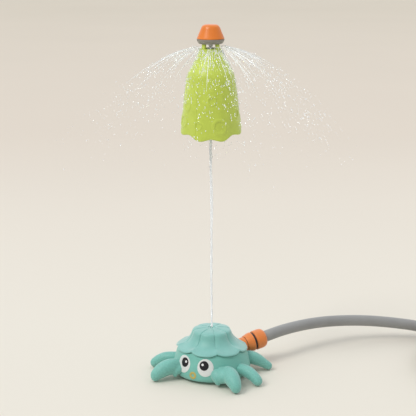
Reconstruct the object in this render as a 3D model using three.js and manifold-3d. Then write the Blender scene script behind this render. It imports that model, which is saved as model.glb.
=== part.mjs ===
// Garden sprinkler for children: a crab-shaped base on the floor, a bell-shaped hat that floats on
// its water jet, and a garden hose with a quick connector at each end.
// Millimetres, +Z up. The origin is on the floor under the jet, and the crab faces -Y.
import * as THREE from 'three';
import { mergeVertices } from 'three/addons/utils/BufferGeometryUtils.js';
import Module from 'manifold-3d';

const wasm = await Module();
wasm.setup();

// ---- driving dimensions ----
const GAP = 0.3; // air left between neighbouring pieces

// crab body
const BODY_R = 62; // widest radius
const BODY_WALL = 2.6;
const BODY_BOTTOM = 3.6;
const BODY_TOP = 42.4;
const BODY_TOP_R = 53.4; // where the shoulder meets the top flange
const FLANGE_WALL = 2.4;
const WAVE_FOOT = 28; // the body's top follows the shell's rim, and below this height it is level
const FLANGE_INNER_R = 36;
const RIM_OPENING_R = 53; // opening that the base plate closes
const BODY_SIDES = 36;

// base plate and its screws
const PLATE_R = 52.6;
const PLATE_TOP = 6.4;
const SCREW_CIRCLE_R = 42;
const SCREW_COUNT = 4;
const BOSS_R = 4.2;
const SCREW_SHANK_R = 1.5;
const SCREW_HEAD_R = 3;

// shell cover
const LOBES = 8;
const LOBE_PITCH = (2 * Math.PI) / LOBES;
const FIRST_GROOVE = THREE.MathUtils.degToRad(-10); // angle from the face
const SHELL_TOP = 75;
const SHELL_WALL = 2.4;
const RIM_R = 57.5;
const RIM_Z = 43.4;
const RIM_WAVE = 3.4; // the rim stands higher at the face and lower at the back
const RIM_DROP = 1.4;
const GROOVE_DEPTH = 1.7;
const GROOVE_RISE = 3.4; // the rim rises at each groove
const SHELL_SIDES = 48;

// limbs: degrees from the face, and curves in the plane of the limb
// as [radius from the jet axis, height, thickness]
const CLAW_ANGLES = { right: 48, left: -39 }; // the crab holds its left claw nearer to its face
const MIDDLE_LEG_ANGLE = 75;
const REAR_LEG_ANGLE = 119;
const PEG_R = 5;
const PEG_INNER = 54;
const CLAW_CURVE = [
  [50, 17.5, 20], [62, 19, 24], [74, 20, 26], [87, 16.8, 24], [97, 10.8, 18.5], [98.5, 8.2, 16],
];
const FINGER_CURVE = [[61, 17, 22], [66, 15, 18], [68.6, 10.5, 12], [69, 8.6, 10.5]];
const PALM_CURVE = [[54, 18, 22], [62, 18, 25], [70, 17.5, 22]]; // joins the two fingers
const FINGER_SWINGS = { right: 14, left: 7.5 }; // the short finger leans this far towards the face
const LIMB_CLEARANCE = 0.8; // air between a limb and the body, which leaves room for the eyes
const MIDDLE_LEG_CURVE = [
  [50, 18.5, 18], [64, 19, 19.5], [77, 17.4, 19.5], [88, 12.9, 17.6], [94, 8.6, 16.4], [94.5, 8.2, 16],
];
const REAR_LEG_CURVE = [
  [50, 23.5, 19], [62, 22.5, 22], [73, 18.5, 20], [84, 11.8, 15.6], [91, 7.4, 13.6], [91.6, 7, 13.4],
];

// face
const FACE_TURN = -3; // the face sits this many degrees to one side of -Y
const EYE_ANGLE = 19;
const EYE_Z = 28.4;
const EYE_R = 13.4;
const EYE_SINK = 0.8;
const PUPIL_R = 7.4;
const PUPIL_SHIFT = 2; // angle between the middle of an eye and its pupil, towards the mouth
const PUPIL_Z = 31.6;
const MOUTH_Z = 14;
const MOUTH_R = 6;
const MOUTH_HOLE_R = 2.4;

// inlet and water path
const INLET_DIR = new THREE.Vector3(0.6, 0.8, 0);
const INLET_TILT = THREE.MathUtils.degToRad(10);
const INLET_START_Z = 25.1; // where the inlet axis crosses the jet axis
const BORE_R = 4;
const RISER_R = 8;
const RISER_TOP = 62;
const SPIGOT_R = 7.5;
const SPIGOT_START = 22;
const SPIGOT_END = 76;
const INLET_BOSS_R = 10.8;
const INLET_BOSS_END = 61;
const NOZZLE_BORE_R = 1.9;
const NOZZLE_FLANGE_R = 5.6;

// quick connector, measured along its axis from the crossing with the jet axis
const SLEEVE_START = 62.4;
const SLEEVE_END = 74.8;
const CORE_R = 11.3;
const BAND_START = 74.3;
const BAND_END = 78.6;
const BAND_R = 13.6;
const NUT_END = 98;
const NUT_R = 15.8;
const BARB_END = 96.5;

// hat
const HAT_WALL = 2.4;
const HAT_NECK_Z = 520;
const HAT_HEM_Z = 391.4;
const HEM_SCALLOP = 2;
const HEM_SWAY = 4.6;
const HEM_FLUTE = 1.1;
const FLUTE_TOP_Z = 455; // the flutes fade out above this height
const HAT_TURN = THREE.MathUtils.degToRad(26); // the low side of the hem, as an angle from the face
const SEAM_ANGLE = THREE.MathUtils.degToRad(-3.5);
const HAT_SIDES = 40;
const POST_CIRCLE_R = 14.2;
const POST_TOP = 527;
const DEFLECTOR_BOTTOM = 527.3;
const DEFLECTOR_TOP = 534.4;
const DEFLECTOR_R = 21;
const CAP_BOTTOM = 534.7;
const CAP_TOP = 556;
const CAP_R = 20.8;

// hose
const HOSE_R = 9.25;
const HOSE_SIDES = 8;
// hand-chosen route from the connector down to the floor, where the coil starts
const HOSE_ROUTE = [
  [78.6, 117.5, 45], [101.6, 160, 44], [127.6, 198, 41], [157.5, 228.5, 37.5],
  [187.2, 250.5, 34], [225.4, 271.5, 29], [255.7, 286, 24],
];
const COIL_CENTRE = new THREE.Vector2(422.7, 222);
const COIL_MIDDLE_R = 102;
const COIL_COLUMNS = 4;
const COIL_LAYERS = 2;
const COIL_START = THREE.MathUtils.degToRad(116);
const COIL_SIDES = 28;
const RUN_STOP = 70.2; // the free stretch ends this far before the point where it would join the outer turn
// the last turn lies on the coil: directions seen from its centre, in degrees, falling as the hose goes on
const TAIL_START = 56;
const TAIL_DRIFT = [46, -84]; // here it moves inwards, from the outer turn to the middle one
const TAIL_RISE = -140; // from here to its end it rises to the height of the far connector
const TAIL_END = -180;
const TAIL_STEP = 20;
const TAIL_STRAIGHT = 12;

// ---- materials ----
const TEAL = { color: 0x7cc4b8, roughness: 0.55, metalness: 0 };
const LIME = { color: 0xb4d246, roughness: 0.5, metalness: 0 };
const ORANGE = { color: 0xe2803a, roughness: 0.42, metalness: 0 };
const GREY = { color: 0x9a9a96, roughness: 0.5, metalness: 0 };
const DARK = { color: 0x1c1c1e, roughness: 0.5, metalness: 0 };
const WHITE = { color: 0xeceae4, roughness: 0.4, metalness: 0 };
const OCHRE = { color: 0xc0a050, roughness: 0.5, metalness: 0 };
const RUBBER = { color: 0x2a2a2a, roughness: 0.8, metalness: 0 };
const HOSE_GREY = { color: 0xa0a2a4, roughness: 0.6, metalness: 0 };
const STEEL = { color: 0xb0b2b4, roughness: 0.35, metalness: 1 };

const sprinkler = new THREE.Group();

// ---- from three.js geometry to solids and back ----
function solid(geometry) {
  const bare = geometry.index ? geometry.toNonIndexed() : geometry.clone();
  bare.deleteAttribute('normal');
  bare.deleteAttribute('uv');
  const merged = mergeVertices(bare, 1e-4);
  const corner = merged.index.array;
  const point = merged.attributes.position.array;
  const triangles = [];
  let volume = 0;
  const a = new THREE.Vector3();
  const b = new THREE.Vector3();
  const c = new THREE.Vector3();
  for (let i = 0; i < corner.length; i += 3) {
    const [p, q, r] = [corner[i], corner[i + 1], corner[i + 2]];
    if (p === q || q === r || r === p) continue;
    triangles.push(p, q, r);
    a.fromArray(point, 3 * p);
    b.fromArray(point, 3 * q);
    c.fromArray(point, 3 * r);
    volume += a.dot(b.cross(c));
  }
  if (volume < 0) {
    for (let i = 0; i < triangles.length; i += 3) {
      [triangles[i + 1], triangles[i + 2]] = [triangles[i + 2], triangles[i + 1]];
    }
  }
  return new wasm.Manifold(new wasm.Mesh({
    numProp: 3,
    vertProperties: new Float32Array(point),
    triVerts: new Uint32Array(triangles),
  }));
}

function add(name, body, look, parent = sprinkler) {
  const { vertProperties, triVerts, numProp } = body.getMesh();
  const position = new Float32Array((vertProperties.length / numProp) * 3);
  for (let i = 0; i < position.length / 3; i++) {
    for (let k = 0; k < 3; k++) position[3 * i + k] = vertProperties[i * numProp + k];
  }
  const geometry = new THREE.BufferGeometry();
  geometry.setAttribute('position', new THREE.BufferAttribute(position, 3));
  geometry.setIndex(new THREE.BufferAttribute(new Uint32Array(triVerts), 1));
  geometry.computeVertexNormals();
  const mesh = new THREE.Mesh(geometry, new THREE.MeshStandardMaterial(look));
  mesh.name = name;
  parent.add(mesh);
  return mesh;
}

// ---- shape helpers ----
// A profile of [radius, height] points turned about Z. It starts and ends on the axis, or closes on itself.
function turned(profile, sides = 24) {
  const points = profile.map(([r, z]) => new THREE.Vector2(r, z));
  const first = points[0];
  if (first.x > 0) points.push(first.clone());
  return new THREE.LatheGeometry(points, sides).rotateX(Math.PI / 2);
}

function cylinder(radius, from, to, sides = 18) {
  return turned([[0, from], [radius, from], [radius, to], [0, to]], sides);
}

function tube(outer, inner, from, to, sides = 32) {
  return turned([[outer, from], [outer, to], [inner, to], [inner, from]], sides);
}

// Moves every vertex of a geometry by a function of its position.
function shaped(geometry, move) {
  const position = geometry.attributes.position;
  const p = new THREE.Vector3();
  for (let i = 0; i < position.count; i++) {
    p.fromBufferAttribute(position, i);
    move(p);
    position.setXYZ(i, p.x, p.y, p.z);
  }
  return geometry;
}

// Turns a geometry built along +X so that it points away from the jet axis at an angle from the face.
function facing(geometry, degrees) {
  return geometry.rotateZ(THREE.MathUtils.degToRad(degrees - 90));
}

const inletFrame = new THREE.Matrix4();
{
  const axis = INLET_DIR.clone().multiplyScalar(Math.cos(INLET_TILT)).setZ(Math.sin(INLET_TILT));
  const turn = new THREE.Quaternion().setFromUnitVectors(new THREE.Vector3(0, 0, 1), axis);
  inletFrame.compose(new THREE.Vector3(0, 0, INLET_START_Z), turn, new THREE.Vector3(1, 1, 1));
}

const onInlet = (geometry) => geometry.applyMatrix4(inletFrame);

function angleFromFace(p) {
  return Math.atan2(p.x, -p.y);
}

// How far the shell's rim, and the body's top under it, stand above their mean height.
function rimWave(angle) {
  return RIM_WAVE * Math.cos(angle) - RIM_DROP;
}

// ---- crab body ----
function bodyOutline(grow = 0) {
  return [
    [RIM_OPENING_R + 3, BODY_BOTTOM - grow], [60 + grow, BODY_BOTTOM + 1 - grow], [BODY_R + grow, 9],
    [61.6 + grow, 18], [60 + grow, 26], [57.8 + grow, 34], [56 + grow, 39.6],
    [BODY_TOP_R + grow, BODY_TOP + grow],
  ];
}

function bodySurface(profile) {
  return shaped(turned(profile, BODY_SIDES), (p) => {
    p.z += rimWave(angleFromFace(p)) * THREE.MathUtils.smoothstep(p.z, WAVE_FOOT, BODY_TOP);
  });
}

function bodyEnvelope(grow) {
  const crown = [[FLANGE_INNER_R, BODY_TOP + grow], [0, BODY_TOP + grow]];
  return solid(bodySurface([[0, BODY_BOTTOM - grow], ...bodyOutline(grow), ...crown]));
}

function eyeCylinder(radius, side, angle = EYE_ANGLE, height = EYE_Z) {
  const rod = cylinder(radius, 40, 80, 18).rotateY(Math.PI / 2).translate(0, 0, height);
  return solid(facing(rod, side * angle + FACE_TURN));
}

// A thin piece that follows the body's surface, between two distances from it.
function onFace(rod, from, to) {
  return rod.intersect(bodyEnvelope(to)).subtract(bodyEnvelope(from));
}

function limbCurve(points) {
  return new THREE.CatmullRomCurve3(points.map(([r, z]) => new THREE.Vector3(r, 0, z)));
}

// A round limb along a curve in the XZ plane: a straight turned shape with a round end, bent onto it.
function limb(points, sides = 10, rings = 8) {
  const curve = limbCurve(points);
  const length = curve.getLength();
  const radiusAt = (s) => {
    const place = s * (points.length - 1);
    const i = Math.min(Math.floor(place), points.length - 2);
    return THREE.MathUtils.lerp(points[i][2], points[i + 1][2], place - i) / 2;
  };
  const tip = radiusAt(1);
  const profile = [[0, 0]];
  for (let i = 0; i <= rings; i++) profile.push([radiusAt(i / rings), (i / rings) * length]);
  for (let i = 1; i < 4; i++) {
    const turn = (i / 4) * (Math.PI / 2);
    profile.push([tip * Math.cos(turn), length + tip * Math.sin(turn)]);
  }
  profile.push([0, length + tip]);
  const straight = turned(profile, sides);
  const bent = shaped(straight, (p) => {
    const u = THREE.MathUtils.clamp(p.z / length, 0, 1);
    const beyond = Math.max(p.z - length, 0);
    const at = curve.getPoint(u);
    const ahead = curve.getTangent(u);
    const x = at.x + ahead.x * beyond - ahead.z * p.x;
    const z = at.z + ahead.z * beyond + ahead.x * p.x;
    p.set(x, p.y, z);
  });
  return bent;
}

function peg(radius, height) {
  return cylinder(radius, PEG_INNER, 68, 10).rotateY(Math.PI / 2).translate(0, 0, height);
}

const LIMBS = [];
for (const [side, suffix] of [[1, 'right'], [-1, 'left']]) {
  const swing = THREE.MathUtils.degToRad(-side * FINGER_SWINGS[suffix]);
  LIMBS.push({ name: `claw_${suffix}`, curve: CLAW_CURVE, angle: CLAW_ANGLES[suffix], swing });
  LIMBS.push({ name: `middle_leg_${suffix}`, curve: MIDDLE_LEG_CURVE, angle: side * MIDDLE_LEG_ANGLE });
  LIMBS.push({ name: `rear_leg_${suffix}`, curve: REAR_LEG_CURVE, angle: side * REAR_LEG_ANGLE });
}
const pegHeight = (part) => part.curve[1][1];

function screwPlaces() {
  const places = [];
  for (let i = 0; i < SCREW_COUNT; i++) {
    const turn = ((i + 0.5) / SCREW_COUNT) * 2 * Math.PI;
    places.push([SCREW_CIRCLE_R * Math.cos(turn), SCREW_CIRCLE_R * Math.sin(turn)]);
  }
  return places;
}

function makeBody() {
  const outer = bodyOutline();
  const inner = [
    [FLANGE_INNER_R, BODY_TOP], [FLANGE_INNER_R, BODY_TOP - FLANGE_WALL], [51, BODY_TOP - FLANGE_WALL],
    [54.6, 35], [57.4, 26], [61.4 - BODY_WALL, 18], [BODY_R - BODY_WALL, 9.4], [57.2, 6.4],
    [RIM_OPENING_R, BODY_BOTTOM],
  ];
  let body = solid(bodySurface([...outer, ...inner]));
  for (const [x, y] of screwPlaces()) {
    const top = BODY_TOP - 1 + rimWave(angleFromFace({ x, y }));
    body = body.add(solid(cylinder(BOSS_R, PLATE_TOP + GAP, top, 10).translate(x, y, 0)));
    body = body.subtract(solid(cylinder(SCREW_SHANK_R + GAP, 0, 18, 8).translate(x, y, 0)));
  }
  body = body.add(solid(onInlet(cylinder(INLET_BOSS_R, 51, INLET_BOSS_END))));
  body = body.subtract(solid(onInlet(cylinder(SPIGOT_R + GAP, 20, 80))));
  for (const part of LIMBS) {
    body = body.subtract(solid(facing(peg(PEG_R + GAP, pegHeight(part)), part.angle)));
  }
  for (const side of [1, -1]) {
    body = body.subtract(eyeCylinder(EYE_R + GAP, side).subtract(bodyEnvelope(-EYE_SINK)));
  }
  add('body_shell', body, TEAL);
}

function makeLimbs() {
  const clearance = bodyEnvelope(LIMB_CLEARANCE);
  for (const part of LIMBS) {
    let shape = solid(limb(part.curve));
    if (part.swing) {
      shape = shape.add(solid(limb(FINGER_CURVE, 8, 4).rotateZ(part.swing)));
      shape = shape.add(solid(limb(PALM_CURVE, 10, 3).rotateZ(part.swing / 2)));
    }
    const turn = part.angle - 90;
    shape = shape.rotate([0, 0, turn]).subtract(clearance);
    shape = shape.add(solid(facing(peg(PEG_R, pegHeight(part)), part.angle)));
    add(part.name, shape, TEAL);
  }
}

function makeFace() {
  for (const [side, suffix] of [[1, 'right'], [-1, 'left']]) {
    const pupilAngle = EYE_ANGLE - PUPIL_SHIFT;
    const seat = eyeCylinder(PUPIL_R + GAP, side, pupilAngle, PUPIL_Z).subtract(bodyEnvelope(0));
    add(`eye_white_${suffix}`, onFace(eyeCylinder(EYE_R, side), GAP - EYE_SINK, 0.4).subtract(seat), WHITE);
    add(`pupil_${suffix}`, onFace(eyeCylinder(PUPIL_R, side, pupilAngle, PUPIL_Z), GAP, 0.9), DARK);
  }
  const ring = eyeCylinder(MOUTH_R, 0, 0, MOUTH_Z).subtract(eyeCylinder(MOUTH_HOLE_R, 0, 0, MOUTH_Z));
  add('mouth_ring', onFace(ring, GAP, 1), OCHRE);
}

function makeBasePlate() {
  let plate = solid(turned([
    [0, 0], [49, 0], [50.5, 1.6], [PLATE_R, 3.4], [PLATE_R, PLATE_TOP], [0, PLATE_TOP],
  ], BODY_SIDES));
  const places = screwPlaces();
  for (const [x, y] of places) {
    plate = plate.subtract(solid(cylinder(SCREW_SHANK_R + GAP, -1, 8, 8).translate(x, y, 0)));
    plate = plate.subtract(solid(cylinder(SCREW_HEAD_R + GAP, -1, 2.9, 12).translate(x, y, 0)));
  }
  add('base_plate', plate, TEAL);
  places.forEach(([x, y], i) => {
    const screw = solid(turned([
      [0, 0.6], [SCREW_HEAD_R, 0.6], [SCREW_HEAD_R, 2.6], [SCREW_SHANK_R - 0.1, 2.6],
      [SCREW_SHANK_R - 0.1, 16], [0, 17],
    ], 8).translate(x, y, 0));
    const slot = solid(new THREE.BoxGeometry(4, 0.9, 1.6).translate(x, y, 0.6));
    add(`base_screw_${i + 1}`, screw.subtract(slot), STEEL);
  });
}

// ---- shell cover ----
// 1 on a groove between two lobes, falling to 0 on the middle of a lobe. The angle is from the face.
function grooveness(angle) {
  const place = ((angle - FIRST_GROOVE) / LOBE_PITCH) * Math.PI;
  return (1 - Math.abs(Math.sin(place))) ** 1.6;
}

function shellSurface(profile) {
  const geometry = turned(profile, SHELL_SIDES).rotateZ(FIRST_GROOVE);
  return shaped(geometry, (p) => {
    const r = Math.hypot(p.x, p.y);
    if (r < 1) return;
    const angle = angleFromFace(p);
    const groove = grooveness(angle);
    const low = THREE.MathUtils.smoothstep(r, 36, RIM_R);
    const deep = GROOVE_DEPTH * THREE.MathUtils.smoothstep(r, 16, 30);
    const k = (r - deep * groove * (1 + 0.5 * low)) / r;
    const lift = low * (rimWave(angle) + GROOVE_RISE * groove);
    p.set(p.x * k, p.y * k, p.z + lift);
  });
}

function makeShellCover() {
  const hole = NOZZLE_FLANGE_R + GAP;
  const outside = [
    [hole, SHELL_TOP], [16, SHELL_TOP - 0.3], [24, 73.8], [29.8, 72.2], [32, 68.4], [34, 63.4],
    [37, 58.5], [41.5, 53.6], [49, 49.6], [55.6, 46.8], [RIM_R, RIM_Z],
  ];
  const inside = [
    [54, RIM_Z], [46.4, 46.2], [39.4, 50], [34.6, 56.2], [31.2, 62.6], [27.4, 69.4],
    [hole, SHELL_TOP - SHELL_WALL],
  ];
  let cover = solid(shellSurface([...outside, ...inside]));
  cover = cover.subtract(solid(onInlet(cylinder(INLET_BOSS_R + GAP, 40, 80))));
  cover = cover.subtract(bodyEnvelope(GAP));
  add('shell_cover', cover, TEAL);
}

// ---- water path ----
function makeWaterPath() {
  let riser = solid(cylinder(RISER_R, PLATE_TOP + GAP, RISER_TOP));
  riser = riser.add(solid(onInlet(cylinder(SPIGOT_R + 2.4, 0, 34))));
  riser = riser.subtract(solid(cylinder(BORE_R, 18, RISER_TOP + 1)));
  riser = riser.subtract(solid(onInlet(cylinder(BORE_R, 0, 40))));
  riser = riser.subtract(solid(onInlet(cylinder(SPIGOT_R + GAP, SPIGOT_START, 40))));
  add('riser', riser, GREY);

  add('nozzle_insert', solid(turned([
    [NOZZLE_BORE_R, 52], [BORE_R - GAP, 52], [BORE_R - GAP, RISER_TOP + GAP],
    [NOZZLE_FLANGE_R, RISER_TOP + GAP], [NOZZLE_FLANGE_R, SHELL_TOP - 0.6], [3.2, SHELL_TOP - 0.2],
    [NOZZLE_BORE_R, SHELL_TOP - 1.6],
  ], 16)), DARK);

  const groove = [SPIGOT_END - 5, SPIGOT_END - 2.6];
  add('inlet_spigot', solid(onInlet(turned([
    [SPIGOT_R, SPIGOT_START + GAP], [SPIGOT_R, groove[0]], [SPIGOT_R - 1.8, groove[0]],
    [SPIGOT_R - 1.8, groove[1]], [SPIGOT_R, groove[1]], [SPIGOT_R, SPIGOT_END - 0.6],
    [SPIGOT_R - 0.6, SPIGOT_END], [BORE_R + 0.5, SPIGOT_END], [BORE_R + 0.5, SPIGOT_START + GAP],
  ], 18))), GREY);
  const ring = new THREE.TorusGeometry(SPIGOT_R - 0.65, 0.85, 6, 18);
  add('spigot_o_ring', solid(onInlet(ring.translate(0, 0, (groove[0] + groove[1]) / 2))), RUBBER);
  add('filter_washer', solid(onInlet(tube(SPIGOT_R, 3, SPIGOT_END + GAP, SPIGOT_END + 1.8, 16))), RUBBER);
}

// ---- quick connector ----
function makeConnector(prefix, place) {
  const make = (name, profile, look, sides = 18) => {
    add(`${prefix}_${name}`, solid(place(turned(profile, sides))), look);
  };
  make('core', [
    [CORE_R, SLEEVE_START + 0.8], [CORE_R, BAND_START], [BAND_R, BAND_START], [BAND_R, BAND_END],
    [10, BAND_END], [10, 86], [6, 86], [5.4, BARB_END], [BORE_R + 0.5, BARB_END],
    [BORE_R + 0.5, SPIGOT_END + 2.1],
    [SPIGOT_R + GAP, SPIGOT_END + 2.1], [SPIGOT_R + GAP, SLEEVE_START + 0.8],
  ], DARK);
  make('sleeve', [
    [12.9, SLEEVE_START], [13.5, SLEEVE_START + 1], [15.2, 71], [15.6, SLEEVE_END - 0.8],
    [15.2, SLEEVE_END], [BAND_R + GAP, SLEEVE_END], [BAND_R + GAP, BAND_START - 3.3],
    [CORE_R + GAP, BAND_START - 3.3], [CORE_R + GAP, SLEEVE_START],
  ], ORANGE);
  make('nut', [
    [14.9, BAND_END + GAP], [NUT_R, BAND_END + 1.2], [NUT_R, 90], [15, 94], [13.2, 96.8], [11.2, NUT_END],
    [HOSE_R + GAP, NUT_END], [HOSE_R + GAP, 87], [10 + GAP, 87], [10 + GAP, BAND_END + GAP],
  ], ORANGE);
  make('collet', [
    [HOSE_R, 87.3], [HOSE_R, NUT_END - 0.6], [6.4, NUT_END - 0.6], [6.4, 87.3],
  ], WHITE, 20);
}

// ---- hose ----
function inletPoint(s) {
  return new THREE.Vector3(0, 0, s).applyMatrix4(inletFrame);
}

function coilPoint(angle, radius, height) {
  return new THREE.Vector3(
    COIL_CENTRE.x + radius * Math.cos(angle),
    COIL_CENTRE.y + radius * Math.sin(angle),
    height,
  );
}

function hoseTube(points, steps) {
  const section = new THREE.Shape();
  for (let i = 0; i < HOSE_SIDES; i++) {
    const turn = (i / HOSE_SIDES) * 2 * Math.PI;
    const [x, y] = [HOSE_R * Math.cos(turn), HOSE_R * Math.sin(turn)];
    if (i) section.lineTo(x, y);
    else section.moveTo(x, y);
  }
  const path = new THREE.CatmullRomCurve3(points);
  return solid(new THREE.ExtrudeGeometry(section, { extrudePath: path, steps, bevelEnabled: false }));
}

function makeHose() {
  const outerR = COIL_MIDDLE_R + ((COIL_COLUMNS - 1) / 2) * 2 * HOSE_R;
  const heading = new THREE.Vector3(Math.sin(COIL_START), -Math.cos(COIL_START), 0);
  const meet = coilPoint(COIL_START, outerR, HOSE_R);
  const approach = (back, height) => meet.clone().addScaledVector(heading, -back).setZ(height);
  const run = [
    inletPoint(NUT_END + GAP), inletPoint(NUT_END + 14),
    ...HOSE_ROUTE.map((p) => new THREE.Vector3(...p)),
    approach(92, 17.6), approach(RUN_STOP, 13.2),
  ];
  add('hose_run', hoseTube(run, 24), HOSE_GREY);

  const outside = outerR + HOSE_R;
  const inside = 2 * COIL_MIDDLE_R - outside;
  const height = COIL_LAYERS * 2 * HOSE_R;
  const round = 3;
  const coil = turned([
    [inside + round, 0], [outside - round, 0], [outside, round], [outside, height - round],
    [outside - round, height], [inside + round, height], [inside, height - round], [inside, round],
  ], COIL_SIDES);
  add('hose_coil', solid(coil.translate(COIL_CENTRE.x, COIL_CENTRE.y, 0)), HOSE_GREY);

  const restZ = height + GAP + HOSE_R;
  const farZ = height + GAP + NUT_R;
  const tailPoint = (degrees) => {
    const inwards = THREE.MathUtils.smoothstep(-degrees, -TAIL_DRIFT[0], -TAIL_DRIFT[1]);
    const rise = THREE.MathUtils.smoothstep(-degrees, -TAIL_RISE, -TAIL_END);
    return coilPoint(
      THREE.MathUtils.degToRad(degrees),
      THREE.MathUtils.lerp(outerR, COIL_MIDDLE_R, inwards),
      THREE.MathUtils.lerp(restZ, farZ, rise),
    );
  };
  const tail = [];
  for (let degrees = TAIL_START; degrees > TAIL_END; degrees -= TAIL_STEP) tail.push(tailPoint(degrees));
  const end = tailPoint(TAIL_END);
  tail.push(end, end.clone().add(new THREE.Vector3(0, TAIL_STRAIGHT, 0)));
  add('hose_tail', hoseTube(tail, 24), HOSE_GREY);

  const nutFace = end.y + TAIL_STRAIGHT + GAP;
  const farEnd = nutFace + NUT_END;
  makeConnector('far', (geometry) => geometry.rotateX(Math.PI / 2).translate(end.x, farEnd, farZ));
}

// ---- hat ----
function hatSurface(profile) {
  return shaped(turned(profile, HAT_SIDES), (p) => {
    const weight = Math.max(0, (FLUTE_TOP_Z - p.z) / (FLUTE_TOP_Z - HAT_HEM_Z)) ** 2;
    if (!weight) return;
    const angle = angleFromFace(p) - HAT_TURN;
    const r = Math.hypot(p.x, p.y);
    const k = (r - HEM_FLUTE * weight * Math.cos(LOBES * angle)) / r;
    const drop = HEM_SCALLOP * Math.cos(LOBES * angle) - HEM_SWAY * Math.cos(2 * angle);
    p.set(p.x * k, p.y * k, p.z + weight * drop);
  });
}

function makeHat() {
  const outside = [
    [16.4, HAT_NECK_Z], [20.4, 508], [24.4, 500.4], [28.2, 494], [35.2, 483], [37.2, 475], [38.6, 464],
    [41, 446], [43, 428], [45.2, 409], [47.2, HAT_HEM_Z],
  ];
  const inside = outside.map(([r, z]) => [r - HAT_WALL, z]).reverse();
  inside[inside.length - 1] = [12, HAT_NECK_Z];
  const bell = solid(hatSurface([...outside, ...inside]));
  for (const [side, suffix] of [[1, 'right'], [-1, 'left']]) {
    const block = new THREE.BoxGeometry(60, 120, 200).translate(side * (30 + GAP / 2), 0, HAT_NECK_Z - 90);
    let half = bell.intersect(solid(block.rotateZ(SEAM_ANGLE)));
    for (const quarter of [1, 3]) {
      const post = new THREE.BoxGeometry(4, 6.4, POST_TOP - HAT_NECK_Z + 1);
      post.translate(POST_CIRCLE_R, 0, (POST_TOP + HAT_NECK_Z - 1) / 2);
      post.rotateZ(HAT_TURN + (side * quarter * Math.PI) / 4 - Math.PI / 2);
      half = half.add(solid(post));
    }
    add(`hat_half_${suffix}`, half, LIME);
  }

  add('deflector', solid(turned([
    [2, DEFLECTOR_BOTTOM], [17.8, DEFLECTOR_BOTTOM], [20, 530.6], [DEFLECTOR_R, 533],
    [DEFLECTOR_R - 0.3, DEFLECTOR_TOP], [2, DEFLECTOR_TOP],
  ])), GREY);
  add('hat_cap', solid(turned([
    [0, CAP_TOP], [8, CAP_TOP], [12.4, 554.4], [14.6, 550.6], [20.4, 536.8], [CAP_R, CAP_BOTTOM],
    [18.6, CAP_BOTTOM], [12.4, 549.4], [9, 553], [5, 553], [5, CAP_BOTTOM + GAP], [2, CAP_BOTTOM + GAP],
    [2, 549.6], [0, 549.6],
  ])), ORANGE);
  add('cap_screw', solid(turned([
    [0, 522.4], [2.6, 522.8], [3.4, 524], [3.4, DEFLECTOR_BOTTOM - GAP], [1.7, DEFLECTOR_BOTTOM - GAP],
    [1.7, 548], [0, 549],
  ], 16)), STEEL);
}

makeBody();
makeLimbs();
makeFace();
makeBasePlate();
makeShellCover();
makeWaterPath();
makeConnector('connector', onInlet);
makeHose();
makeHat();

export default sprinkler;
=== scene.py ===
"""A garden sprinkler for children: a crab, a hat that floats on its jet, and a garden hose."""

import math

import bmesh
import bpy
import numpy as np
from mathutils import Matrix, Vector


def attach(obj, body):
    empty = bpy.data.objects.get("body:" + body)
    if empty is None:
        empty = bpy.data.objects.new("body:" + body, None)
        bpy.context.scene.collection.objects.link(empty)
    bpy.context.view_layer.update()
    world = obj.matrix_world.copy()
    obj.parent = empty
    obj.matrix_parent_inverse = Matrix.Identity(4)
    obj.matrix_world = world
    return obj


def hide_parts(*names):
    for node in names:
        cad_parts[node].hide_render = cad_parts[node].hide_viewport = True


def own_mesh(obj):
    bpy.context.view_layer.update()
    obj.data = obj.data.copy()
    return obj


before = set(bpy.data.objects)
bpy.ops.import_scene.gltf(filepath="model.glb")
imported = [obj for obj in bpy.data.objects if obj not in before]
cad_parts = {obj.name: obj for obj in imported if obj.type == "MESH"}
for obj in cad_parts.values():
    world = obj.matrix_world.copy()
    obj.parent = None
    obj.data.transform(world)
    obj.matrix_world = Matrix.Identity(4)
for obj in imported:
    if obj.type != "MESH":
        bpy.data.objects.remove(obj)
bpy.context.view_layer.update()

MM = 0.001

# ---- camera ----
CAMERA_TURN = math.radians(26)  # from the crab's face towards its left side
CAMERA_DISTANCE = 1.7
CAMERA_HEIGHT = 0.6868
CAMERA_PITCH = math.radians(13.716)
CAMERA_ROLL = math.radians(-0.22)
CAMERA_LENS = 96.9
CAMERA_SHIFT = -0.0079

# ---- shared dimensions, in millimetres as in the CAD ----
GAP = 0.3
LOBES = 8
FIRST_GROOVE = math.radians(-10)
RIM_R = 57.5
HAT_TURN = math.radians(26)
SEAM = math.radians(-3.5)
HAT_HEM_Z = 391.4
HAT_WALL = 2.4
HOSE_R = 9.25
COIL_CENTRE = (422.7, 222)
COIL_MIDDLE_R = 102
COIL_COLUMNS = 4
COIL_LAYERS = 2
COIL_START = math.radians(116)
TAIL_TURN = 296  # degrees of the last turn that the hose lies on before its straight end
TAIL_STRAIGHT = 12
INLET_TILT = math.radians(10)
INLET_START_Z = 25.1
NUT_END = 98
NUT_R = 15.8

INLET_AXIS = Vector((0.6 * math.cos(INLET_TILT), 0.8 * math.cos(INLET_TILT), math.sin(INLET_TILT)))
FAR_Z = COIL_LAYERS * 2 * HOSE_R + GAP + NUT_R


def smooth(x, low, high):
    """0 below low, 1 above high, and an even S between them."""
    t = np.clip((x - low) / (high - low), 0, 1)
    return t * t * (3 - 2 * t)


def polar(co):
    """Each point's distance from the Z axis, and its angle from the crab's face."""
    return np.hypot(co[:, 0], co[:, 1]), np.arctan2(co[:, 0], -co[:, 1])


def turn_between(a, b):
    """The angle from b to a, within half a turn either way."""
    return (a - b + math.pi) % (2 * math.pi) - math.pi


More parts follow.
